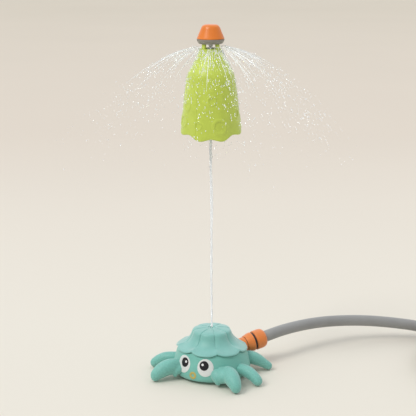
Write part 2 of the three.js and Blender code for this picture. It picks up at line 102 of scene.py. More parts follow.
# ---- meshes ----
CURVE_SPANS = (((0, 1), (1, 2), (2, 3)), ((0, 2), (1, 3)), ((1, 2),))
ON_AXIS = 1e-6


def smooth_object(name, mesh):
    mesh.polygons.foreach_set("use_smooth", [True] * len(mesh.polygons))
    obj = bpy.data.objects.new(name, mesh)
    bpy.context.collection.objects.link(obj)
    return obj


def new_mesh(name, points, faces):
    mesh = bpy.data.meshes.new(name)
    mesh.from_pydata([tuple(p) for p in points], [], faces)
    mesh.validate()
    mesh.update()
    return smooth_object(name, mesh)


def built_mesh(name, bm):
    """An object from a bmesh, which is freed."""
    mesh = bpy.data.meshes.new(name)
    bm.to_mesh(mesh)
    bm.free()
    return smooth_object(name, mesh)


def curve_points(points, steps):
    """Points of a centripetal Catmull-Rom curve through the given ones, steps to each stretch."""
    p = np.array(points, float)
    p = np.vstack([2 * p[0] - p[1], p, 2 * p[-1] - p[-2]])
    out = []
    for i in range(1, len(p) - 2):
        knots = [0.0]
        for k in range(3):
            step = np.linalg.norm(p[i + k] - p[i + k - 1]) ** 0.5
            knots.append(knots[-1] + max(step, 1e-6))
        for t in np.linspace(knots[1], knots[2], steps, endpoint=False):
            level = list(p[i - 1:i + 3])
            for spans in CURVE_SPANS:
                level = [
                    ((knots[b] - t) * start + (t - knots[a]) * end) / (knots[b] - knots[a])
                    for (a, b), start, end in zip(spans, level, level[1:])
                ]
            out.append(level[0])
    out.append(p[-2])
    return np.array(out)


def turned(name, profile, sides, warp=None, place=None):
    """A surface turned about Z from a profile of (radius, height) in millimetres.

    The profile starts and ends on the axis, or its last point joins its first.
    """
    profile = [tuple(p) for p in profile]
    closed = profile[0][0] > ON_AXIS
    angles = np.arange(sides) * (2 * math.pi / sides)
    points, rings = [], []
    for r, z in profile:
        if r < ON_AXIS:
            rings.append([len(points)])
            points.append((0.0, 0.0, z))
            continue
        rings.append(list(range(len(points), len(points) + sides)))
        points.extend((r * math.sin(a), -r * math.cos(a), z) for a in angles)
    faces = []
    pairs = list(zip(rings, rings[1:])) + ([(rings[-1], rings[0])] if closed else [])
    for low, high in pairs:
        for i in range(sides):
            j = (i + 1) % sides
            if len(low) == 1 and len(high) == 1:
                continue
            if len(low) == 1:
                faces.append((low[0], high[j], high[i]))
            elif len(high) == 1:
                faces.append((low[i], low[j], high[0]))
            else:
                faces.append((low[i], low[j], high[j], high[i]))
    co = np.array(points, float)
    if warp:
        co = warp(co)
    co = co * MM
    if place is not None:
        co = co @ np.array(place.to_3x3()).T + np.array(place.translation)
    obj = new_mesh(name, co, faces)
    mesh_out(obj)
    return obj


def mesh_out(obj):
    """Points every face outwards."""
    bm = bmesh.new()
    bm.from_mesh(obj.data)
    bmesh.ops.recalc_face_normals(bm, faces=bm.faces)
    bm.to_mesh(obj.data)
    bm.free()


def rounded(profile, steps):
    """A smooth curve through a profile's points."""
    return [tuple(p) for p in curve_points(profile, steps)]


def crisp(obj, angle=35):
    """Keeps the edges between clearly different faces sharp."""
    obj.data.set_sharp_from_angle(angle=math.radians(angle))


def inlet_place():
    turn = Vector((0, 0, 1)).rotation_difference(INLET_AXIS)
    return Matrix.Translation((0, 0, INLET_START_Z * MM)) @ turn.to_matrix().to_4x4()


def far_place():
    x = (COIL_CENTRE[0] - COIL_MIDDLE_R) * MM
    y = (COIL_CENTRE[1] + TAIL_STRAIGHT + GAP + NUT_END) * MM
    return Matrix.Translation((x, y, FAR_Z * MM)) @ Matrix.Rotation(math.pi / 2, 4, "X")


# ---- materials ----
class Nodes:
    """A material's node tree, with short calls for the few nodes that the plastics need."""

    def __init__(self, name):
        self.material = bpy.data.materials.new(name)
        self.material.use_nodes = True
        self.tree = self.material.node_tree
        self.shader = self.tree.nodes["Principled BSDF"]
        self.where = self.add("ShaderNodeTexCoord").outputs["Object"]

    def add(self, kind, **values):
        node = self.tree.nodes.new(kind)
        for key, value in values.items():
            if key in node.inputs:
                node.inputs[key].default_value = value
            else:
                setattr(node, key, value)
        return node

    def link(self, a, b):
        self.tree.links.new(a, b)

    def shade(self, socket, value):
        """Gives one of the shader's sockets a value, or another node's output."""
        if isinstance(value, bpy.types.NodeSocket):
            self.link(value, self.shader.inputs[socket])
        else:
            self.shader.inputs[socket].default_value = value

    def noise(self, size, detail=2.0, rough=0.5):
        """Noise whose features are about this many metres across."""
        node = self.add("ShaderNodeTexNoise", Scale=1.0 / size, Detail=detail, Roughness=rough)
        self.link(self.where, node.inputs["Vector"])
        return node.outputs["Fac"]

    def ramp(self, value, a, b, low=0.3, high=0.7):
        """From a to b while the value goes from low to high, by default a noise's middle range."""
        node = self.add("ShaderNodeMapRange")
        node.inputs["From Min"].default_value = low
        node.inputs["From Max"].default_value = high
        node.inputs["To Min"].default_value = a
        node.inputs["To Max"].default_value = b
        self.link(value, node.inputs["Value"])
        return node.outputs["Result"]

    def mix(self, factor, a, b):
        node = self.add("ShaderNodeMix", data_type="RGBA")
        self.link(factor, node.inputs["Factor"])
        for value, socket in ((a, node.inputs[6]), (b, node.inputs[7])):
            if isinstance(value, tuple):
                socket.default_value = (*value, 1.0)
            else:
                self.link(value, socket)
        return node.outputs[2]

    def bump(self, height, strength, distance, under=None):
        node = self.add("ShaderNodeBump", Strength=strength, Distance=distance)
        self.link(height, node.inputs["Height"])
        if under is not None:
            self.link(under, node.inputs["Normal"])
        return node.outputs["Normal"]


def scaled(colour, k):
    return tuple(min(1.0, c * k) for c in colour)


def moulded(
    name, colour, roughness=0.5, mottle=0.05, grain=0.0009, relief=0.00005, sheen=0, speck=0,
):
    """Moulded plastic: slightly uneven colour and gloss, and a fine moulded grain.

    mottle and speck are shares of the colour. The grain is this wide and deep, in metres.
    """
    n = Nodes(name)
    cloud = n.noise(0.018, 3.0)
    base = n.mix(n.ramp(cloud, 0, 1), scaled(colour, 1 - mottle), scaled(colour, 1 + mottle))
    fine = n.noise(grain, 2.0, 0.6)
    if speck:
        base = n.mix(n.ramp(fine, 0, 1, 0.42, 0.62), scaled(colour, 1 - speck), base)
    n.shade("Base Color", base)
    n.shade("Roughness", n.ramp(cloud, roughness - 0.05, roughness + 0.06))
    wide = n.bump(n.noise(0.006, 2.0), 0.25, 0.0002)
    n.shade("Normal", n.bump(fine, 0.6, relief, wide))
    if sheen:
        n.shade("Sheen Weight", sheen)
        n.shade("Sheen Roughness", 0.5)
    return n.material


def make_hose_material():
    n = Nodes("hose_vinyl")
    colour = (0.31, 0.31, 0.305)
    cloud = n.noise(0.03, 3.0)
    n.shade("Base Color", n.mix(n.ramp(cloud, 0, 1), scaled(colour, 0.94), scaled(colour, 1.05)))
    n.shade("Roughness", n.ramp(cloud, 0.46, 0.56))
    wide = n.bump(n.noise(0.008), 0.2, 0.0002)
    n.shade("Normal", n.bump(n.noise(0.0012, 2.0), 0.5, 0.00005, wide))
    return n.material


def make_steel():
    n = Nodes("zinc_steel")
    n.shade("Base Color", n.mix(n.noise(0.002), (0.45, 0.45, 0.46), (0.62, 0.62, 0.64)))
    n.shade("Roughness", n.ramp(n.noise(0.001), 0.28, 0.42))
    n.shade("Metallic", 1.0)
    return n.material


def make_water_material():
    n = Nodes("water")
    n.shade("Base Color", n.mix(n.noise(0.003), (0.84, 0.86, 0.87), (0.97, 0.98, 0.98)))
    n.shade("Roughness", 0.08)
    n.shade("IOR", 1.33)
    n.shade("Transmission Weight", 0.55)
    # Painted light: a slight glow that makes the water brighter than the lamps light it.
    n.shade("Emission Color", (1, 1, 1, 1))
    n.shade("Emission Strength", 0.04)
    return n.material


TEAL = moulded("teal_body", (0.18, 0.50, 0.425), 0.46, 0.04, sheen=0.3)
TEAL_SHELL = moulded("teal_shell", (0.20, 0.485, 0.435), 0.44, 0.04, sheen=0.5)
TEAL_LIMB = moulded(
    "teal_limb", (0.19, 0.52, 0.45), 0.5, 0.05, grain=0.0016, relief=0.0003, sheen=0.35, speck=0.16,
)
LIME = moulded("lime_hat", (0.53, 0.645, 0.08), 0.42, 0.04, sheen=0.3)
ORANGE_CAP = moulded("orange_cap", (0.82, 0.215, 0.022), 0.34, 0.03)
ORANGE = moulded("orange_fitting", (0.78, 0.225, 0.045), 0.4, 0.05, sheen=0.2)
GREY = moulded("grey_disc", (0.27, 0.255, 0.215), 0.5, 0.06)
DARK = moulded("black_plastic", (0.022, 0.02, 0.022), 0.45, 0.1)
EYE_WHITE = moulded("eye_white", (0.72, 0.74, 0.72), 0.4, 0.02)
EYE_BLACK = moulded("eye_black", (0.008, 0.005, 0.007), 0.25, 0.1)
GLINT = moulded("eye_glint", (0.85, 0.85, 0.85), 0.3, 0.02)
OCHRE = moulded("mouth_ochre", (0.50, 0.42, 0.12), 0.5, 0.06)
WHITE = moulded("white_plastic", (0.7, 0.7, 0.68), 0.45, 0.04)
RUBBER = moulded("black_rubber", (0.02, 0.02, 0.02), 0.7, 0.1)
HOSE = make_hose_material()
STEEL = make_steel()
WATER = make_water_material()


def finish_piece(obj, material, body, slot, *nodes):
    """Gives a piece its material and body, and hides the CAD nodes that it stands for."""
    obj.data.materials.clear()
    obj.data.materials.append(material)
    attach(obj, body)
    if nodes:
        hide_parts(*nodes)


def dress_node(name, material):
    """A CAD node that stays as it is, with its own material."""
    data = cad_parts[name].data
    data.materials.clear()
    data.materials.append(material)


# ---- camera and hose come first ----
def make_camera():
    data = bpy.data.cameras.new("camera")
    data.sensor_width = 36
    data.lens = CAMERA_LENS
    data.shift_x = CAMERA_SHIFT
    data.clip_end = 100
    camera = bpy.data.objects.new("camera", data)
    bpy.context.collection.objects.link(camera)
    across, away = CAMERA_DISTANCE * math.sin(CAMERA_TURN), CAMERA_DISTANCE * math.cos(CAMERA_TURN)
    camera.location = (across, -away, CAMERA_HEIGHT)
    heading = Matrix.Rotation(CAMERA_TURN, 4, "Z")
    pitch = Matrix.Rotation(math.pi / 2 - CAMERA_PITCH, 4, "X")
    camera.rotation_euler = (heading @ pitch @ Matrix.Rotation(CAMERA_ROLL, 4, "Z")).to_euler()
    bpy.context.scene.camera = camera


def inlet_point(s):
    """A point on the connector's axis, s millimetres out from where the axis meets the jet's."""
    p = INLET_AXIS * s
    return (p.x, p.y, p.z + INLET_START_Z)


# The run from the connector to the floor, the same points as in the CAD.
HOSE_ROUTE = [
    (78.6, 117.5, 45), (101.6, 160, 44), (127.6, 198, 41), (157.5, 228.5, 37.5),
    (187.2, 250.5, 34), (225.4, 271.5, 29), (255.7, 286, 24),
]
# The last of the run: distance short of the coil, and height.
APPROACH = [(92, 17.6), (70.2, 13.2), (47, 10.2), (22, HOSE_R), (0, HOSE_R)]
COIL_STEP = 8  # degrees between the curve's points
TURN_IN = (250, 360)  # the degrees of a turn over which the hose changes column
TURN_OUT = (60, 170)
CLIMB = (170, 250)  # the same for the change from the lower layer to the upper
TAIL_CLIMB = (0, 60)
TAIL_IN = (70, 200)
TAIL_COLUMNS = 1.5  # how many columns the last turn lies inside the coil's rim
TAIL_RISE = 44  # degrees over which the end rises to the connector's height


def coil_point(radius, turn, height):
    x, y = COIL_CENTRE
    return np.array([x + radius * math.cos(turn), y + radius * math.sin(turn), height])


def coil_moves():
    """Where the coiled hose moves over: first and last degree, and change of radius and height."""
    width = 2 * HOSE_R
    last = COIL_COLUMNS - 1
    top = 360 * (2 * COIL_COLUMNS - 1)
    moves = [(360 * k + TURN_IN[0], 360 * k + TURN_IN[1], -width, 0) for k in range(last)]
    moves.append((360 * last + CLIMB[0], 360 * last + CLIMB[1], 0, width))
    for k in range(COIL_COLUMNS, 2 * COIL_COLUMNS - 1):
        moves.append((360 * k + TURN_OUT[0], 360 * k + TURN_OUT[1], width, 0))
    moves.append((top + TAIL_CLIMB[0], top + TAIL_CLIMB[1], 0, width + GAP))
    moves.append((top + TAIL_IN[0], top + TAIL_IN[1], -TAIL_COLUMNS * width, 0))
    moves.append((top + TAIL_TURN - TAIL_RISE, top + TAIL_TURN, 0, FAR_Z - (5 * HOSE_R + GAP)))
    return moves


def hose_path():
    outer = COIL_MIDDLE_R + (COIL_COLUMNS - 1) * HOSE_R
    heading = np.array([math.sin(COIL_START), -math.cos(COIL_START), 0])
    meet = coil_point(outer, COIL_START, HOSE_R)
    run = [inlet_point(NUT_END + GAP), inlet_point(NUT_END + 14), *HOSE_ROUTE]
    for back, height in APPROACH:
        run.append((*(meet - heading * back)[:2], height))
    points = list(curve_points(run, 6))
    total = 360 * (2 * COIL_COLUMNS - 1) + TAIL_TURN
    for degree in np.arange(COIL_STEP, total + 0.1, COIL_STEP):
        radius, height = outer, HOSE_R
        for first, last, wide, high in coil_moves():
            share = float(smooth(degree, first, last))
            radius += wide * share
            height += high * share
        points.append(coil_point(radius, COIL_START - math.radians(degree), height))
    end = points[-1].copy()
    for forward in (4, 8, TAIL_STRAIGHT):
        points.append(end + np.array([0, forward, 0]))
    return np.array(points) * MM


def make_hose():
    path = hose_path()
    curve = bpy.data.curves.new("garden_hose", "CURVE")
    curve.dimensions = "3D"
    curve.bevel_depth = HOSE_R * MM
    curve.bevel_resolution = 10
    curve.use_fill_caps = True
    spline = curve.splines.new("POLY")
    spline.points.add(len(path) - 1)
    spline.points.foreach_set("co", np.hstack([path, np.ones((len(path), 1))]).ravel())
    hose = bpy.data.objects.new("garden_hose", curve)
    bpy.context.collection.objects.link(hose)
    curve.materials.append(HOSE)
    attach(hose, "hose")
    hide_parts("hose_run", "hose_coil", "hose_tail")


# ---- quick connectors ----
CORE_PROFILE = [
    (11.3, 63.2), (11.3, 74.3), (13.2, 74.3), (13.6, 74.7), (13.6, 78.2), (13.2, 78.6), (10, 78.6),
    (10, 86), (6, 86), (6.3, 88), (5.6, 90), (6.3, 92), (5.4, 96.5), (4.5, 96.5), (4.5, 78.1),
    (7.8, 78.1), (7.8, 63.9), (8.4, 63.2),
]
SLEEVE_PROFILE = [
    (12.4, 62.4), (12.9, 62.5), (13.3, 63), (13.8, 65), (14.3, 67), (14.8, 69), (15.2, 71),
    (15.4, 72.4), (15.55, 73.4), (15.6, 74), (15.5, 74.5), (15.2, 74.8), (13.9, 74.8), (13.9, 71),
    (11.6, 71), (11.6, 62.8), (11.9, 62.4),
]
NUT_PROFILE = [
    (14.6, 78.9), (15.2, 79.0), (15.7, 79.6), (15.8, 80.4), (15.8, 82), (15.8, 84), (15.8, 86),
    (15.8, 88), (15.8, 90), (15.6, 92), (15.1, 94), (14.2, 95.7), (13, 97), (11.6, 97.8),
    (10.4, 98), (9.6, 97.7), (9.55, 97), (9.55, 87), (10.3, 87), (10.3, 78.9),
]


def fluted(count, depth, start, foot, head):
    """A warp that presses flutes into a turned piece.

    They start at a range of radii, and run from a range of heights at the foot to one at the head.
    """
    def warp(co):
        r, turn = polar(co)
        deep = smooth(r, *start) * smooth(co[:, 2], *foot) * (1 - smooth(co[:, 2], *head))
        k = 1 - depth * deep * (0.5 + 0.5 * np.cos(count * turn)) / r
        co[:, :2] *= k[:, None]
        return co

    return warp


SLEEVE_FLUTES = fluted(24, 0.22, (13.2, 14.2), (63.2, 65), (72.2, 73.4))
NUT_RIBS = fluted(30, 0.3, (14.6, 15.3), (80, 81.5), (90.5, 93))


def make_connector(prefix, place, core_body, sleeve_body, nut_body):
    """The core with its dark band, the fluted release sleeve and the ribbed nut, on one axis."""
    core = turned(f"{prefix}_fitting_core", CORE_PROFILE, 72, place=place)
    crisp(core)
    finish_piece(core, DARK, core_body, "dark_plastic", f"{prefix}_core")
    sleeve = turned(
        f"{prefix}_release_sleeve", SLEEVE_PROFILE, 144, warp=SLEEVE_FLUTES, place=place,
    )
    crisp(sleeve)
    finish_piece(sleeve, ORANGE, sleeve_body, "orange_plastic", f"{prefix}_sleeve")
    nut = turned(f"{prefix}_hose_nut", NUT_PROFILE, 180, warp=NUT_RIBS, place=place)
    crisp(nut)
    finish_piece(nut, ORANGE, nut_body, "orange_plastic", f"{prefix}_nut")
    dress_node(f"{prefix}_collet", WHITE)
    return [core, sleeve, nut]


# ---- the crab's body ----
BODY_OUTLINE = [
    (47, 44.2), (51.4, 43.8), (54.2, 42.4), (55.6, 40.4), (56.8, 36.8), (58.4, 31.4), (60, 26),
    (61.6, 18), (62, 12.4), (61.5, 8), (59.6, 4.9), (56.4, 3.6), (53.2, 3.8),
]
BODY_INSIDE = [
    (53.2, 6.4), (57.2, 6.8), (59.2, 9.4), (58.8, 18), (57.4, 26), (54.6, 35), (51, 40), (47, 41),
]
ADAPTOR_PROFILE = [
    (7.9, 50), (11.9, 50), (12, 56), (12.2, 60.6), (12, 61.6), (11.4, 62.1), (8.3, 62.1),
    (7.9, 61.6),
]
WAVE_FOOT = 28  # the body's wave starts at this height and is full at its top
BODY_TOP = 42.4
COLLAR_FOOT = 37
COLLAR_RISE = 2.6
COLLAR_DENT = 1.2


def rim_wave(angle):
    """How far the shell's rim, and the body's top under it, stand above their mean height."""
    return 3.4 * np.cos(angle) - 1.4


def groove_at(angle):
    """1 on a groove between two lobes of the shell, falling to 0 on the middle of a lobe."""
    return (1 - np.abs(np.sin((angle - FIRST_GROOVE) / 2 * LOBES))) ** 1.6


def body_radius(z, angle=0.0):
    """The radius of the body's outside at a height."""
    outline = np.array(rounded(BODY_OUTLINE, 8))
    high = outline[:, 1] + rim_wave(angle) * smooth(outline[:, 1], WAVE_FOOT, BODY_TOP)
    order = high.argsort()
    return np.interp(z, high[order], outline[order, 0])


def collar(co):
    """The body's top edge follows the scalloped rim of the shell just above it."""
    r, angle = polar(co)
    up = smooth(co[:, 2], WAVE_FOOT, BODY_TOP)
    near = smooth(co[:, 2], COLLAR_FOOT, BODY_TOP)
    co[:, 2] += up * rim_wave(angle) + near * COLLAR_RISE * groove_at(angle)
    co[:, :2] *= ((r - COLLAR_DENT * near * groove_at(angle)) / r)[:, None]
    return co


def make_body():
    body = turned("crab_body", rounded(BODY_OUTLINE, 8) + BODY_INSIDE, 240, warp=collar)
    finish_piece(body, TEAL, "crab", "crab_body", "body_shell")
    adaptor = turned("tap_adaptor", ADAPTOR_PROFILE, 96, place=inlet_place())
    crisp(adaptor)
    finish_piece(adaptor, ORANGE, "crab", "orange_plastic")


PATCH_CENTRE = 0.02  # a patch's innermost ring, as a share of its radius
PATCH_EDGE = [(0.985, 0.06), (1.0, 0.25)]  # its rounded edge: share of the radius, depth
PATCH_SIDES = 48


def face_patch(name, radius, angle, height, low, high, tall=1.0, hole=0.0, rings=8):
    """A thin round inlay that follows the body's surface, between two distances from it."""
    points, faces = [], []

    def point(x, y, out):
        z = height + y
        r = float(body_radius(z, angle))
        turn = angle + x / r
        slope = float(body_radius(z + 0.5, angle) - body_radius(z - 0.5, angle))
        tilt = math.atan2(-slope, 1.0)
        reach = r + out * math.cos(tilt)
        return (reach * math.sin(turn), -reach * math.cos(turn), z + out * math.sin(tilt))

    def ring(share, out):
        start = len(points)
        for i in range(PATCH_SIDES):
            a = 2 * math.pi * i / PATCH_SIDES
            x, y = share * radius * math.cos(a), share * radius * tall * math.sin(a)
            points.append(point(x, y, out))
        return start

    inner = max(hole / radius, PATCH_CENTRE)
    shares = list(np.linspace(inner, 0.94, rings))
    outs = [high] * rings
    if hole:
        outs[0] = high - PATCH_EDGE[-1][1]
    for share, below in PATCH_EDGE:
        shares.append(share)
        outs.append(high - below)
    starts = [ring(share, out) for share, out in zip(shares + [1.0, inner], outs + [low, low])]
    for a, b in zip(starts, starts[1:] + starts[:1]):
        for i in range(PATCH_SIDES):
            j = (i + 1) % PATCH_SIDES
            faces.append((a + i, a + j, b + j, b + i))
    obj = new_mesh(name, np.array(points) * MM, faces)
    mesh_out(obj)
    return obj


FACE_TURN = math.radians(-3)
EYE_ANGLE = math.radians(19)
EYE_Z = 28.4
PUPIL_ANGLE = math.radians(17)
PUPIL_Z = 31.6
GLINT_SHIFT = 0.04  # radians towards the mouth, where the glint is printed on the pupil
GLINT_RISE = 1.4


def make_face():
    for side, suffix in ((1, "right"), (-1, "left")):
        eye = FACE_TURN + side * EYE_ANGLE
        pupil = FACE_TURN + side * PUPIL_ANGLE
        white = face_patch(f"eye_{suffix}", 13, eye, EYE_Z, -0.7, 0.4, tall=1.05)
        finish_piece(white, EYE_WHITE, "crab", "eye_white", f"eye_white_{suffix}")
        black = face_patch(f"eye_pupil_{suffix}", 7.3, pupil, PUPIL_Z, 0.42, 0.75)
        finish_piece(black, EYE_BLACK, "crab", "eye_black", f"pupil_{suffix}")
        spot = pupil - side * GLINT_SHIFT
        top = PUPIL_Z + GLINT_RISE
        glint = face_patch(f"eye_glint_{suffix}", 1.9, spot, top, 0.76, 0.9, rings=3)
        finish_piece(glint, GLINT, "crab", "eye_white")
    mouth = face_patch("mouth", 6.0, FACE_TURN, 14.5, -0.3, 0.5, hole=2.4, rings=6)
    finish_piece(mouth, OCHRE, "crab", "mouth", "mouth_ring")


# ---- limbs ----
# (distance from the jet's axis, height, thickness)
CLAW = [
    (50, 17.5, 20), (62, 19, 24), (74, 20, 26), (87, 16.8, 24), (97, 10.8, 18.5), (98.5, 8.2, 16),
]
FINGER = [(61, 17, 22), (66, 15, 18), (68.6, 10.5, 12), (69, 8.6, 10.5)]
PALM = [(54, 18, 22), (62, 18, 25), (70, 17.5, 22)]
MIDDLE_LEG = [
    (50, 18.5, 18), (64, 19, 19.5), (77, 17.4, 19.5), (88, 12.9, 17.6), (94, 8.6, 16.4),
    (94.5, 8.2, 16),
]
REAR_LEG = [
    (50, 23.5, 19), (62, 22.5, 22), (73, 18.5, 20), (84, 11.8, 15.6), (91, 7.4, 13.6),
    (91.6, 7, 13.4),
]
MIDDLE_LEG_ANGLE = 75
REAR_LEG_ANGLE = 119
CLAW_ANGLES = {"right": 48, "left": -39}
FINGER_SWINGS = {"right": math.radians(14), "left": math.radians(-7.5)}
LEFT_FINGER_SLIM = 0.72  # so that the left claw's root stays clear of the left eye
LIMB_VOXEL = 0.0009
LIMB_SMOOTHING = 24


def limb_part(bm, strokes, degrees, swing, slim=1.0):
    """Adds a row of balls along a curve in a vertical plane through the jet axis."""
    line = curve_points(strokes, 10)
    turn = math.radians(degrees) - math.pi / 2 - swing
    for r, z, thick in line:
        place = Matrix.Translation((r * math.cos(turn) * MM, r * math.sin(turn) * MM, z * MM))
        bmesh.ops.create_icosphere(bm, subdivisions=3, radius=thick * slim / 2 * MM, matrix=place)


def make_limb(name, node, strokes, degrees, swing=0):
    bm = bmesh.new()
    limb_part(bm, strokes, degrees, 0)
    if swing:
        limb_part(bm, FINGER, degrees, swing, LEFT_FINGER_SLIM if swing < 0 else 1)
        if swing > 0:
            limb_part(bm, PALM, degrees, swing / 2)
    obj = built_mesh(name, bm)
    remesh = obj.modifiers.new("remesh", "REMESH")
    remesh.mode = "VOXEL"
    remesh.voxel_size = LIMB_VOXEL
    remesh.use_smooth_shade = True
    even = obj.modifiers.new("even", "SMOOTH")
    even.factor = 0.5
    even.iterations = LIMB_SMOOTHING
    apply_modifiers(obj)
    finish_piece(obj, TEAL_LIMB, "crab", "limb", node)


def apply_modifiers(obj):
    bpy.context.view_layer.update()
    graph = bpy.context.evaluated_depsgraph_get()
    mesh = bpy.data.meshes.new_from_object(obj.evaluated_get(graph))
    obj.modifiers.clear()
    obj.data = mesh


def make_limbs():
    for side, suffix in ((1, "right"), (-1, "left")):
        angle, swing = CLAW_ANGLES[suffix], FINGER_SWINGS[suffix]
        make_limb(f"limb_claw_{suffix}", f"claw_{suffix}", CLAW, angle, swing)
        angle = side * MIDDLE_LEG_ANGLE
        make_limb(f"limb_middle_{suffix}", f"middle_leg_{suffix}", MIDDLE_LEG, angle)
        make_limb(f"limb_rear_{suffix}", f"rear_leg_{suffix}", REAR_LEG, side * REAR_LEG_ANGLE)


# ---- shell cover ----
SHELL_OUTSIDE = [
    (5.9, 74.4), (6.4, 74.9), (10, 75.1), (16, 74.8), (22, 74.2), (26.6, 73.3), (29.2, 72.4),
    (31, 70.6), (32.2, 67.8), (34, 63.2), (36.6, 58.8), (40.6, 54.4), (45, 51.4), (50.4, 49),
    (55, 47), (57, 45.6), (57.6, 44.3), (57.2, 43.5),
]
SHELL_INSIDE = [
    (54.6, 43.4), (46.4, 46.2), (39.4, 50), (34.6, 56.2), (31.2, 62.6), (27.4, 69.4), (5.9, 72.6),
]
SHELL_SIDES = 960
SKIRT_R = 36  # the shell's skirt starts here and ends at the rim
FLUTE_DEPTH = 1.7
FLUTE_LIFT = 3.4  # how far a groove raises the rim between two lobes
CUT_HALF_WIDTH = 0.75  # the fine line down the middle of each groove
CUT_DEPTH = 1.0


def lobed(co):
    """Presses the grooves between the shell's lobes, and lifts its rim where they end."""
    r, angle = polar(co)
    groove = groove_at(angle)
    lobe = 2 * math.pi / LOBES
    step = (angle - FIRST_GROOVE + lobe / 2) % lobe - lobe / 2
    narrow = np.exp(-((step * r / CUT_HALF_WIDTH) ** 2))
    low = smooth(r, SKIRT_R, RIM_R)
    wide = FLUTE_DEPTH * smooth(r, 16, 30) * groove
    outer = smooth(co[:, 2], 43.0, 43.6) * (co[:, 2] > 43.45)
    cut = CUT_DEPTH * narrow * smooth(r, 7, 13) * (1 - 0.3 * smooth(r, 50, 57)) * outer
    side = smooth(r, 27, 31)
    k = (r - wide * (1 + 0.5 * low) - cut * side) / r
    co[:, :2] *= k[:, None]
    co[:, 2] += low * (rim_wave(angle) + FLUTE_LIFT * groove) - cut * (1 - side)
    return co


def make_shell():
    shell = turned("shell_dome", rounded(SHELL_OUTSIDE, 6) + SHELL_INSIDE, SHELL_SIDES, warp=lobed)
    finish_piece(shell, TEAL_SHELL, "crab", "shell_cover", "shell_cover")


# ---- hat ----
HAT_OUTLINE = [
    (16.4, 520), (17.6, 515.4), (20.4, 508), (24.2, 500.6), (28.4, 494), (32.2, 488), (35.1, 482.4),
    (36.9, 475.4), (38.4, 464.6), (40.7, 448.3), (42.6, 432), (44.8, 412), (47.2, 391.4),
]
# Embossed rings: angle in degrees from the side of the hat that the camera sees, height, and
# outer and inner radius.
HAT_RINGS = [
    (17, 406.6, 12.3, 7.8), (1.9, 445.4, 7.2, 4.6), (-25.3, 408, 6.6, 4.8), (-57, 436, 8.2, 5),
    (-66, 412.5, 10.5, 6.8), (62, 424, 8, 5), (96, 409, 11.5, 7.4), (120, 441, 7.2, 4.4),
    (150, 414, 9, 5.8), (182, 437, 8.4, 5.2), (205, 408, 12, 7.8), (236, 440, 7, 4.4),
    (262, 411, 8.6, 5.4),
]
RING_RISE = 0.75
RING_SINK = 0.35  # how far the middle of a ring lies below the hat's face
RING_EDGE = 0.5
SEAM_DEPTH = 0.8
SEAM_HALF_WIDTH = 0.55
SCALLOP_START_Z = 455
SCALLOP_DEPTH = 1.1
SCALLOP_DROP = 2
HEM_SWAY = 4.6  # the hem hangs this much lower on two opposite sides, and higher between them
HAT_SIDES = 600
LIP_DROP = 0.8
LIP_ROUND = 0.5
POST_HALF = (2, 3.2, 4.2)
POST_R = 14.2
POST_Z = 522.8


def embossed(r, face, angle, z, hung):
    """How far the rings and the two seams move the hat's outside, out and in."""
    out = 0
    for degrees, height, big, small in HAT_RINGS:
        far = np.hypot(turn_between(angle, math.radians(degrees)) * r, hung - height)
        inside = smooth(far, small - RING_EDGE, small + RING_EDGE)
        out += RING_RISE * (inside - smooth(far, big - RING_EDGE, big + RING_EDGE))
        out -= RING_SINK * (1 - inside)
    for seam in (SEAM, SEAM + math.pi):
        line = np.exp(-((turn_between(face, seam) * r / SEAM_HALF_WIDTH) ** 2))
        out -= SEAM_DEPTH * line * (1 - smooth(z, 470, 500))
    return out


def scalloped(co, outer):
    """Waves the hat's lower part, and embosses its outside."""
    r, face = polar(co)
    z = co[:, 2].copy()
    angle = face - HAT_TURN
    weight = np.clip((SCALLOP_START_Z - z) / (SCALLOP_START_Z - HAT_HEM_Z), 0, None) ** 2
    out = -SCALLOP_DEPTH * weight * np.cos(LOBES * angle)
    hung = z + weight * (SCALLOP_DROP * np.cos(LOBES * angle) - HEM_SWAY * np.cos(2 * angle))
    if outer:
        out = out + embossed(r, face, angle, z, hung)
    k = (r + out) / r
    co[:, :2] *= k[:, None]
    co[:, 2] = hung
    return co


def make_hat():
    outline = np.array(curve_points(HAT_OUTLINE, 16))
    inner = outline[::-4].copy()
    inner[:, 0] -= HAT_WALL
    inner[-1] = (12, 520)
    hem_r, hem_z = outline[-1]
    lip = [(hem_r - LIP_ROUND, hem_z - LIP_DROP), (hem_r - HAT_WALL + LIP_ROUND, hem_z - LIP_DROP)]
    profile = [tuple(p) for p in outline] + lip + [tuple(p) for p in inner]

    def warp(co):
        split = len(outline) * HAT_SIDES
        co[:split] = scalloped(co[:split], True)
        co[split:] = scalloped(co[split:], False)
        return co

    bell = turned("hat_bell", profile, HAT_SIDES, warp=warp)
    finish_piece(bell, LIME, "hat", "hat", "hat_half_right", "hat_half_left")
    for quarter in range(4):
        turn = HAT_TURN + math.pi / 4 + quarter * math.pi / 2
        post = rounded_box(f"hat_post_{quarter + 1}", POST_HALF, 0.9)
        out = Matrix.Translation((POST_R * MM, 0, POST_Z * MM))
        post.data.transform(Matrix.Rotation(turn - math.pi / 2, 4, "Z") @ out)
        finish_piece(post, LIME, "hat", "hat")


def rounded_box(name, half, bevel):
    bm = bmesh.new()
    bmesh.ops.create_cube(bm, size=2)
    bmesh.ops.scale(bm, vec=Vector(half) * MM, verts=bm.verts)
    bmesh.ops.bevel(
        bm, geom=bm.edges[:], offset=bevel * MM, segments=4, affect="EDGES", profile=0.5,
    )
    return built_mesh(name, bm)


